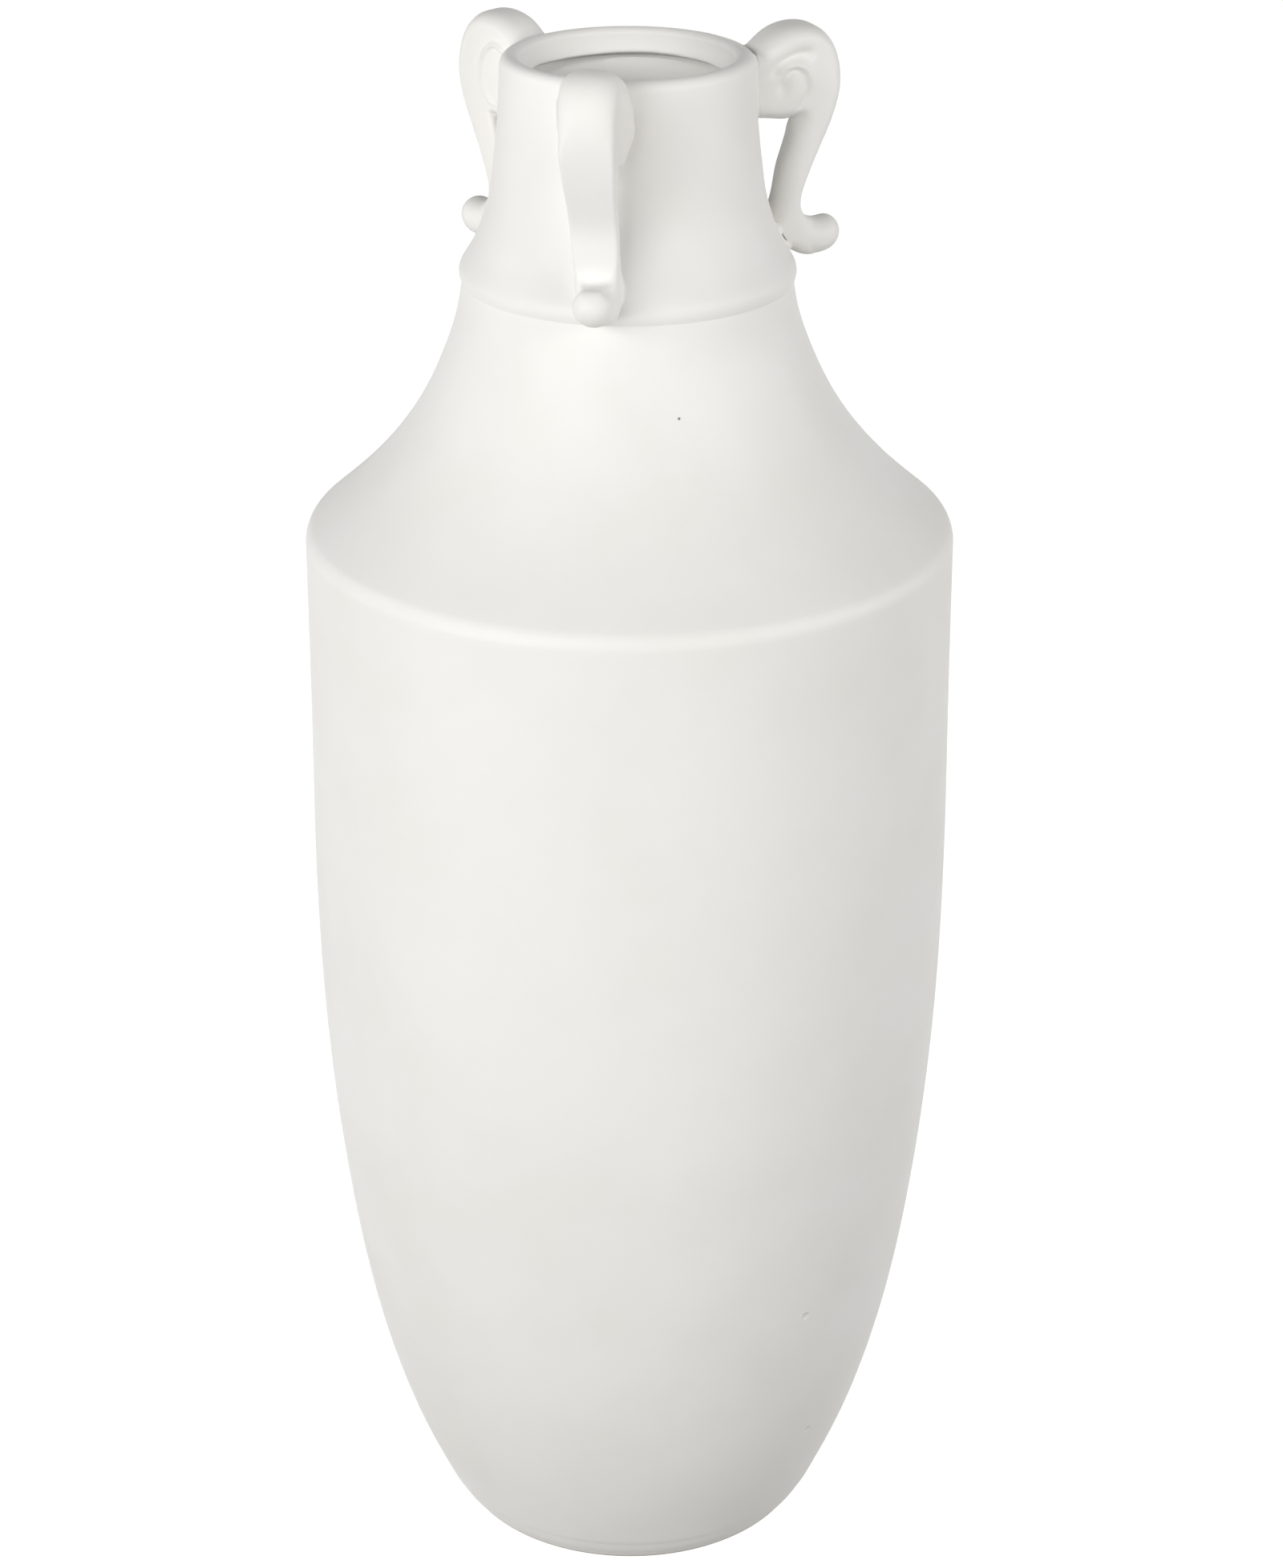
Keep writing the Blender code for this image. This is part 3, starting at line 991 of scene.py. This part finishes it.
@dataclass
class ScrollHandle:
    """One strap handle that rolls over into a scroll at the head and curls out at the foot."""

    kiln: Kiln
    vessel: Vessel
    place: Place
    turn: float
    rise: float = 0.0
    reach: float = 1.0
    lean: float = 0.0
    curl_lift: float = 0.0
    strap_shift: float = 0.0
    spacing: float = 1.1
    head_width: float = 20.0
    foot_width: float = 15.8
    tail_width: float = 14.4
    taper_low: float = 530.0
    taper_high: float = 586.0
    head_low: float = 563.0
    head_top: float = 596.0
    under_slope: float = 1.0
    strap_flare: float = 0.5
    head_start: Point = (46.6, 588.0)
    head_root: float = 585.0
    # How far the slip behind the head reaches above the mouth's joint
    head_seat: float = 10.5
    head_core: float = 50.0
    root_radius: float = 46.7
    foot_low: float = 514.2
    foot_high: float = 527.5
    root_step: float = 1.0
    bury: float = 3.0
    seat: float = 0.8
    seat_stride: int = 3
    edge: Point = (2.4, 2.4)
    inner_edge: Point = (8.0, 7.0)
    under_edge: Point = (6.0, 5.5)
    crest_edge: Point = (8.0, 5.2)
    crest_low: float = 570.0
    crest_high: float = 592.0
    hook: Point = (66.0, 533.0)
    hook_reach: float = 9.0
    hook_fill: float = 0.0
    tail: Point = (75.6, 517.6)
    tail_edge: Point = (7.2, 6.6)
    tail_core: float = 7.0
    tail_reach: float = 12.5
    tube_low: float = 518.0
    tube_high: float = 536.0
    tube_share: float = 0.7
    voxel: float = 0.45
    soften: int = 8
    # How far sideways a face points where the scroll starts to show, and where it is full
    facing: Point = (0.45, 0.9)
    unevenness: float = 0.3
    wave: float = 17.0
    head_bead: float = 1.0
    foot_bead: float = 1.0
    bead_width: float = 1.2
    bead_step: float = 0.3
    bead_sink: float = 0.12
    bead_soften: int = 2
    bed_inset: float = 0.5
    bed_gap: float = 0.05
    bed_sink: float = 0.2
    drips: Path = field(default_factory=list)
    drip_height: float = 1.9
    drip_reach: Point = (1.4, 2.1)
    relief: tuple[Stroke | Lump, ...] = SPIRAL
    arch_points: Path = field(default_factory=lambda: [
        (53.0, 593.3), (62.2, 595.9), (70.6, 594.3), (76.3, 588.6), (78.6, 578.8), (76.6, 565.6),
        (70.0, 549.0), (65.6, 538.0), (64.8, 530.4), (68.2, 525.2), (73.0, 524.1), (77.4, 524.6),
        (81.0, 521.9), (81.8, 517.2), (78.6, 512.3), (72.0, 510.4), (66.0, 511.2),
    ])
    strap_points: Path = field(default_factory=lambda: [
        (55.4, 533.0), (57.6, 543.6), (60.9, 553.6), (61.9, 557.6),
    ])

    def share(self, height: np.ndarray | float) -> np.ndarray:
        """Return how far up the strap a height lies, from 0 at the foot to 1 at the head."""
        return np.clip((height - self.foot_high) / (self.head_low - self.foot_high), 0.0, 1.0)

    def width(self, height: np.ndarray | float) -> np.ndarray:
        """Return the strap's width, which tapers from the head to the foot."""
        share = np.clip((height - self.taper_low) / (self.taper_high - self.taper_low), 0.0, 1.0)
        return self.foot_width + (self.head_width - self.foot_width) * share

    def curl(self, places: np.ndarray) -> np.ndarray:
        """Return 1 in the curl at the foot's tail and 0 away from it, for radius and height."""
        apart = np.linalg.norm(places - np.array(self.tail), axis=1)
        return 1.0 - ease(apart, self.tail_core, self.tail_reach)

    def lifted(self, height: np.ndarray | float) -> np.ndarray:
        """Raise heights in the head by this handle's own lift, which grows up to the crest."""
        above = np.maximum(height - self.head_low, 0.0)
        return height + above * self.rise / (self.head_top - self.head_low)

    def unlifted(self, flat: np.ndarray) -> np.ndarray:
        """Take this handle's own lift and reach off places on its side.

        Args:
            flat: Radius and height in millimetres, one row for each place.

        Returns:
            The same places on a handle without lift and reach of its own.
        """
        above = np.maximum(flat[:, 1] - self.head_low, 0.0)
        height = flat[:, 1] - above * self.rise / (self.head_top - self.head_low + self.rise)
        stretch = 1.0 + (self.reach - 1.0) * self.share(height)
        return np.stack([self.root_radius + (flat[:, 0] - self.root_radius) / stretch, height], axis=1)

    def hand_shaped(self, outline: Path) -> Path:
        """Give the outline this handle's own lift and reach, and fill the hook above its curl.

        Args:
            outline: Points of the common outline.

        Returns:
            The points as this handle has them.
        """
        shaped = []
        for (radius, height), curl in zip(outline, self.curl(np.array(outline))):
            share = float(self.share(height)) if radius > self.head_core else 0.0
            stretch = 1.0 + (self.reach - 1.0) * share
            near = math.dist((radius, height), self.hook) / self.hook_reach
            fill = self.hook_fill * math.exp(-near ** 2)
            lift = float(self.lifted(height)) + self.curl_lift * float(curl)
            shaped.append((self.root_radius + (radius - self.root_radius) * stretch + fill, lift))
        return shaped

    def outline(self) -> tuple[Path, list[np.ndarray]]:
        """Draw the scroll, with both roots run on into the neck's wall.

        Returns:
            The closed outline, and its free edges: the outer side, the strap's inner side and the
            underside of the head.
        """
        foot_low = (float(self.vessel.skin(self.foot_low)), self.foot_low)
        foot_high = (float(self.vessel.skin(self.foot_high)), self.foot_high)
        arch = smooth_curve([self.head_start] + self.arch_points + [foot_low], self.spacing)
        strap_points = [(radius + self.strap_shift, height) for radius, height in self.strap_points]
        strap_points.append((strap_points[-1][0] + self.strap_flare, self.head_low - self.under_slope))
        strap = smooth_curve([foot_high] + strap_points, self.spacing)
        roots = [
            (foot_low[0] - self.bury, foot_low[1] + self.root_step),
            (foot_high[0] - self.bury, foot_high[1]),
        ]
        head_skin = float(self.vessel.skin(self.head_low))
        head = [
            (head_skin - self.bury, self.head_low + self.under_slope),
            (self.head_start[0] - 2.0 * self.bury, self.head_root),
        ]
        edges = [self.hand_shaped(line) for line in (arch, strap, [strap[-1], head[0]])]
        return self.hand_shaped(arch + roots + strap + head), [np.array(edge) for edge in edges]

    def clearance(self) -> bpy.types.Object:
        """Make the cutter that fits the handle's roots to the neck.

        Returns:
            A solid of the neck, a little larger all round.
        """
        path = self.vessel.neck_path[1::self.seat_stride] + self.vessel.crown()
        offset = beside(path, -self.seat)
        section = [(0.0, offset[0][1])] + offset + [(0.0, offset[-1][1])]
        return turned(section, CUTTER_STEPS)

    def build_strap(self) -> bpy.types.Object:
        """Model the handle: outline, width, round edges, scroll and a hand-made unevenness.

        Returns:
            The closed piece, in its place.
        """
        outline, free_edges = self.outline()
        piece = drawn(outline)
        bpy.ops.mesh.edge_face_add()
        half = 0.5 * self.head_width * MM
        bpy.ops.transform.translate(value=(-half, 0.0, 0.0))
        bpy.ops.mesh.extrude_region_move(TRANSFORM_OT_translate={"value": (2.0 * half, 0.0, 0.0)})
        bpy.ops.mesh.select_all(action="SELECT")
        bpy.ops.mesh.normals_make_consistent(inside=False)
        bpy.ops.object.mode_set(mode="OBJECT")
        cutter = self.clearance()
        apply_modifier(piece, "BOOLEAN", operation="DIFFERENCE", object=cutter, solver="EXACT")
        bpy.data.objects.remove(cutter, do_unlink=True)
        apply_modifier(piece, "REMESH", mode="VOXEL", voxel_size=self.voxel * MM)
        self.round_edges(piece, free_edges)
        apply_modifier(piece, "REMESH", mode="VOXEL", voxel_size=self.voxel * MM)
        apply_modifier(piece, "SMOOTH", factor=SOFTENING, iterations=self.soften)
        self.press_scroll(piece)
        self.turn_to_place(piece)
        return piece

    def edge_radii(self, places: np.ndarray) -> tuple[np.ndarray, np.ndarray]:
        """Return how round the outer edge is at each place: most at the crest and at the curl.

        Args:
            places: Radius and height in millimetres, one row for each place.

        Returns:
            The rounding's reach across the width and its depth, in millimetres.
        """
        crest = ease(places[:, 1], self.crest_low, self.crest_high)[:, None]
        tube = self.tube_share * (1.0 - ease(places[:, 1], self.tube_low, self.tube_high))
        curl = np.maximum(self.curl(places), tube)[:, None]
        plain = np.array(self.edge)
        more = (np.array(self.crest_edge) - plain) * crest + (np.array(self.tail_edge) - plain) * curl
        radii = plain + more
        return radii[:, 0], radii[:, 1]

    def side(self, flat: np.ndarray, free_edges: list[np.ndarray]) -> tuple[np.ndarray, np.ndarray]:
        """Work out the strap's half width, tapered and drawn in towards its free edges.

        Args:
            flat: Radius and height in millimetres, one row for each place.
            free_edges: The outer side, the strap's inner side and the underside of the head.

        Returns:
            The half width before and after the edges are drawn in.
        """
        narrowing = (self.foot_width - self.tail_width) * self.curl(flat)
        half = 0.5 * (self.width(self.unlifted(flat)[:, 1]) - narrowing)
        limit = half.copy()
        rounding = (self.edge_radii(flat), self.inner_edge, self.under_edge)
        for line, (reach, deep) in zip(free_edges, rounding):
            drop = np.clip(1.0 - line_distance(flat, line)[0] / deep, 0.0, 1.0)
            limit -= np.minimum(reach, half) * (1.0 - np.sqrt(1.0 - drop ** 2))
        return half, np.maximum(limit, 0.0)

    def round_edges(self, piece: bpy.types.Object, free_edges: list[np.ndarray]) -> None:
        """Taper the square-edged strap and round its free edges, as fingers smooth them.

        Args:
            piece: The strap, at the front.
            free_edges: The outer side, the strap's inner side and the underside of the head.
        """
        places = read_points(piece) / MM
        half, limit = self.side(np.stack([-places[:, 1], places[:, 2]], axis=1), free_edges)
        across = np.abs(places[:, 0]) * 2.0 * half / self.head_width
        places[:, 0] = np.sign(places[:, 0]) * np.minimum(across, limit)
        write_points(piece, places * MM)

    def press_scroll(self, piece: bpy.types.Object) -> None:
        """Press the scroll into both sides and make the clay slightly uneven.

        Args:
            piece: The strap, at the front.
        """
        places = read_points(piece) / MM
        sideways = np.abs(read_points(piece, "normal")[:, 0])
        flat = self.unlifted(np.stack([-places[:, 1], places[:, 2]], axis=1))
        press = sum(mark.rise(flat) for mark in self.relief) * ease(sideways, *self.facing)
        places[:, 0] += np.sign(places[:, 0]) * press
        drift = [
            noise.noise_vector(Vector(place) / self.wave + Vector((self.turn, 0.0, 0.0)))
            for place in places
        ]
        write_points(piece, (places + self.unevenness * np.array(drift)) * MM)

    def turn_to_place(self, piece: bpy.types.Object) -> None:
        """Lean a finished piece as its handle leans and turn it to its place, in its mesh.

        Args:
            piece: The piece, at the front.
        """
        angle = math.radians(self.turn)
        places = read_points(piece)
        places[:, 0] -= math.tan(math.radians(self.lean)) * (places[:, 2] - self.foot_high * MM)
        across = places[:, 0] * math.cos(angle) - places[:, 1] * math.sin(angle)
        places[:, 1] = places[:, 0] * math.sin(angle) + places[:, 1] * math.cos(angle)
        places[:, 0] = across
        write_points(piece, places)
        pick(piece)
        bpy.ops.object.shade_smooth()

    def build_slip(self, low: float, high: float, bead: float) -> bpy.types.Object:
        """Model the bed of slip under a root, with the bead that was squeezed out round it.

        Args:
            low: The root's lowest height in millimetres.
            high: Its highest height.
            bead: How high the bead stands against the root.

        Returns:
            The closed piece, in its place.
        """
        spread = 2.0 * self.bead_width
        reach_up = high - low + 2.0 * spread
        reach_across = float(self.width(high)) + 2.0 * spread
        bpy.ops.object.select_all(action="DESELECT")
        bpy.ops.mesh.primitive_grid_add(
            x_subdivisions=round(reach_across / self.bead_step),
            y_subdivisions=round(reach_up / self.bead_step), size=1.0, enter_editmode=True,
        )
        piece = bpy.context.object
        bpy.ops.mesh.extrude_region_move(TRANSFORM_OT_translate={"value": (0.0, 0.0, 1.0)})
        bpy.ops.mesh.select_all(action="SELECT")
        bpy.ops.object.mode_set(mode="OBJECT")
        flat = read_points(piece)
        across = flat[:, 0] * reach_across
        height = 0.5 * (low + high) + flat[:, 1] * reach_up
        skin = self.vessel.skin(height)
        limit = self.side(np.stack([skin + self.seat, height], axis=1), self.outline()[1])[1]
        outside = np.maximum(np.abs(across) - limit, np.maximum(low - height, height - high))
        share = np.clip(outside / self.bead_width, 0.0, 1.0)
        fillet = bead * (1.0 - share) ** 2 - self.bead_sink
        wide, tall = self.drip_reach
        for start, middle in self.drips:
            apart = np.hypot((outside - start) / wide, (height - middle) / tall)
            fillet += self.drip_height * np.exp(-apart ** 4)
        bed = np.where(outside < -self.bed_inset, self.seat - self.bed_gap, fillet)
        radius = skin + np.where(flat[:, 2] > 0.5, bed, -self.bed_sink)
        places = np.stack([across, -np.sqrt(radius ** 2 - across ** 2), height], axis=1)
        write_points(piece, places * MM)
        pick(piece)
        bpy.ops.object.mode_set(mode="EDIT")
        bpy.ops.mesh.select_all(action="SELECT")
        bpy.ops.mesh.normals_make_consistent(inside=False)
        bpy.ops.object.mode_set(mode="OBJECT")
        apply_modifier(piece, "SMOOTH", factor=SOFTENING, iterations=self.bead_soften)
        self.turn_to_place(piece)
        self.vessel.shift(piece)
        return piece

    def build(self) -> None:
        """Make and finish the handle and its two beds of slip."""
        strap = self.build_strap()
        finish_piece(strap, f"handle_{self.place.value}", Slot.GLAZE, self.kiln.glaze)
        head_low = self.head_low + self.under_slope
        head_high = self.vessel.mouth_joint.height + self.head_seat
        beds = {
            "head_slip": (head_low, head_high, self.head_bead),
            "foot_slip": (self.foot_low, self.foot_high, self.foot_bead),
        }
        for name, bed in beds.items():
            slip = self.build_slip(*bed)
            finish_piece(slip, f"{name}_{self.place.value}", Slot.SLIP, self.kiln.slip)


@dataclass(frozen=True)
class Lamp:
    """A softbox, by its turn from the camera's side, its height angle and its strength."""

    name: str
    turn: float
    lift: float
    power: float


@dataclass
class Studio:
    """The pale floor, the soft light and the camera, in metres and degrees."""

    target_height: float = 0.30
    floor_reach: float = 60.0
    floor_white: float = 0.93
    floor_pale: str = "#BEBCB7"
    floor_bounce: str = "#363532"
    ambient: float = 0.12
    camera_distance: float = 1.32
    camera_turn: float = 10.2
    camera_height: float = 0.8991
    camera_pitch: float = 24.123
    axis_offset: float = 0.191
    lens: float = 86.69
    sensor: float = 36.0
    clip: Point = (0.05, 200.0)
    lamp_distance: float = 2.4
    lamp_size: Point = (1.2, 0.55)
    lamps: tuple[Lamp, ...] = (
        Lamp("left_low", -50.0, 0.0, 15.4),
        Lamp("left_high", -50.0, 24.0, 9.4),
        Lamp("front_left_low", -25.0, 0.0, 7.6),
        Lamp("front_left_high", -25.0, 24.0, 12.3),
        Lamp("front_right_low", 28.0, 0.0, 7.4),
        Lamp("right_high", 46.0, 24.0, 10.8),
        Lamp("right_side_high", 75.0, 24.0, 7.2),
        Lamp("right_side", 75.0, 12.0, 5.2),
        Lamp("right_back", 100.0, 12.0, 6.6),
        Lamp("left_back_low", -105.0, 0.0, 3.2),
        Lamp("left_back_high", -105.0, 24.0, 6.8),
    )
    snoot_turn: float = -8.0
    snoot_lift: float = 32.0
    snoot_beam: float = 0.034
    snoot_blend: float = 0.6
    snoot_size: float = 0.04
    snoot_power: float = 105.0
    mouth_height: float = 0.577
    mouth_radius: float = 0.038

    def floor(self) -> None:
        """Lay the floor: white to the eye with the vase's shadow, and dim for bounced light."""
        bpy.ops.object.select_all(action="DESELECT")
        bpy.ops.mesh.primitive_plane_add(size=2.0 * self.floor_reach)
        plane = bpy.context.object
        plane.name = "floor"
        material, tree, surface = new_material("pale_studio_floor")
        seen = self.seen(tree)
        shaded = add_node(tree, "ShaderNodeBsdfDiffuse", {"Color": hex_colour(self.floor_pale)})
        glow = add_node(tree, "ShaderNodeEmission", {"Strength": self.floor_white})
        white = add_node(tree, "ShaderNodeAddShader", {0: shaded.outputs[0], 1: glow.outputs[0]})
        bounce = add_node(tree, "ShaderNodeBsdfDiffuse", {"Color": hex_colour(self.floor_bounce)})
        mixed = add_node(
            tree, "ShaderNodeMixShader", {0: seen, 1: bounce.outputs[0], 2: white.outputs[0]},
        )
        tree.links.new(mixed.outputs[0], surface)
        plane.data.materials.append(material)

    def seen(self, tree: bpy.types.NodeTree) -> bpy.types.NodeSocket:
        """Add the nodes that tell what the eye sees, straight, mirrored or through glass.

        Args:
            tree: The tree to add them to.

        Returns:
            A socket that is 1 for what the eye sees.
        """
        path = add_node(tree, "ShaderNodeLightPath").outputs
        mirrored = add_node(
            tree, "ShaderNodeMath", {0: path["Is Glossy Ray"], 1: path["Is Transmission Ray"]},
            operation="MAXIMUM",
        ).outputs[0]
        return add_node(
            tree, "ShaderNodeMath", {0: path["Is Camera Ray"], 1: mirrored}, operation="MAXIMUM",
        ).outputs[0]

    def world(self) -> None:
        """Set a white surround for the eye and a dim one for light."""
        world = bpy.data.worlds.new("soft_surround")
        bpy.context.scene.world = world
        world.use_nodes = True
        tree = world.node_tree
        tree.nodes.clear()
        strength = add_node(
            tree, "ShaderNodeMapRange",
            {"Value": self.seen(tree), "To Min": self.ambient, "To Max": 1.0},
        ).outputs["Result"]
        back = add_node(
            tree, "ShaderNodeBackground", {"Color": (1.0, 1.0, 1.0, 1.0), "Strength": strength},
        )
        output = add_node(tree, "ShaderNodeOutputWorld")
        tree.links.new(back.outputs[0], output.inputs["Surface"])

    def outward(self, turn: float, lift: float) -> Vector:
        """Work out the direction from the vase to a lamp or to the camera's side.

        Args:
            turn: The turn from the camera's side, in degrees.
            lift: The height angle in degrees.

        Returns:
            The direction, one metre long.
        """
        across = math.radians(self.camera_turn + turn)
        up = math.radians(lift)
        return Vector((
            math.sin(across) * math.cos(up), -math.cos(across) * math.cos(up), math.sin(up),
        ))

    def hang(self, data: bpy.types.Light, target: Vector, out: Vector) -> None:
        """Hang a lamp away from its target, and aim it there.

        Args:
            data: The lamp.
            target: The place that it lights.
            out: The direction from the target to the lamp.
        """
        item = bpy.data.objects.new(data.name, data)
        item.location = target + self.lamp_distance * out
        item.rotation_euler = out.to_track_quat("Z", "Y").to_euler()
        bpy.context.scene.collection.objects.link(item)

    def light(self, lamp: Lamp) -> None:
        """Hang one softbox, aimed at the vase.

        Args:
            lamp: The softbox.
        """
        data = bpy.data.lights.new(lamp.name, "AREA")
        data.shape = "RECTANGLE"
        data.size, data.size_y = self.lamp_size
        data.energy = lamp.power
        target = Vector((0.0, 0.0, self.target_height))
        self.hang(data, target, self.outward(lamp.turn, lamp.lift))

    def snoot(self) -> None:
        """Hang a snooted lamp that shines over the near rim at the far wall of the mouth."""
        data = bpy.data.lights.new("mouth_snoot", "SPOT")
        data.energy = self.snoot_power
        data.spot_size = 2.0 * math.atan(self.snoot_beam / self.lamp_distance)
        data.spot_blend = self.snoot_blend
        data.shadow_soft_size = self.snoot_size
        target = Vector((0.0, 0.0, self.mouth_height)) - self.mouth_radius * self.outward(0.0, 0.0)
        self.hang(data, target, self.outward(self.snoot_turn, self.snoot_lift))

    def camera(self) -> None:
        """Stand the camera where the photograph was taken from."""
        data = bpy.data.cameras.new("camera")
        data.lens = self.lens
        data.sensor_width = self.sensor
        data.clip_start, data.clip_end = self.clip
        item = bpy.data.objects.new("camera", data)
        item.location = self.camera_distance * self.outward(0.0, 0.0)
        item.location.z = self.camera_height
        tilt = math.radians(90.0 - self.camera_pitch)
        item.rotation_euler = (tilt, 0.0, math.radians(self.camera_turn - self.axis_offset))
        bpy.context.scene.collection.objects.link(item)
        bpy.context.scene.camera = item

    def build(self) -> None:
        """Set up the whole studio."""
        self.floor()
        self.world()
        for lamp in self.lamps:
            self.light(lamp)
        self.snoot()
        self.camera()
        bpy.context.scene.view_settings.view_transform = "Standard"


BLEMISHES = (
    Blemish(Mark.SPECK, 24.75, 69.0, 477.4, 0.75),
    Blemish(Mark.DIMPLE, 47.91, 109.2, 123.7, 2.2),
    Blemish(Mark.DIMPLE, 57.73, 94.3, 57.2, 2.2),
)


def main() -> None:
    """Fire the finishes, make the vase piece by piece and set up the studio."""
    logging.basicConfig(level=logging.INFO, format="%(name)s: %(message)s")
    noise.seed_set(UNEVEN_SEED)
    kiln = Kiln(
        glaze=SatinGlaze(blemishes=BLEMISHES).build(),
        bare=FiredClay("bare_fired_earthenware", "#DCD3C4", "#C6BBA9", 0.85).build(),
        slip=SatinGlaze("thin_glaze_over_slip", cloud_size=6.0).build(),
    )
    vessel = Vessel(kiln)
    vessel.build()
    handles = (
        ScrollHandle(
            kiln, vessel, Place.FRONT, 0.4, rise=2.8, lean=1.8, curl_lift=1.8, hook_fill=3.2,
            edge=(1.0, 1.0), relief=BOSS,
        ),
        ScrollHandle(
            kiln, vessel, Place.RIGHT, 121.0, rise=0.6, head_bead=1.8, bead_width=1.8,
            drips=[(0.9, 523.4), (0.9, 516.4)],
        ),
        ScrollHandle(
            kiln, vessel, Place.LEFT, -122.4, rise=0.5, reach=0.96, head_low=560.6,
            strap_shift=-1.9, inner_edge=(2.4, 2.4), under_edge=(2.4, 2.4), relief=RING,
        ),
    )
    for handle in handles:
        handle.build()
    Studio().build()


if __name__ == "__main__":
    main()
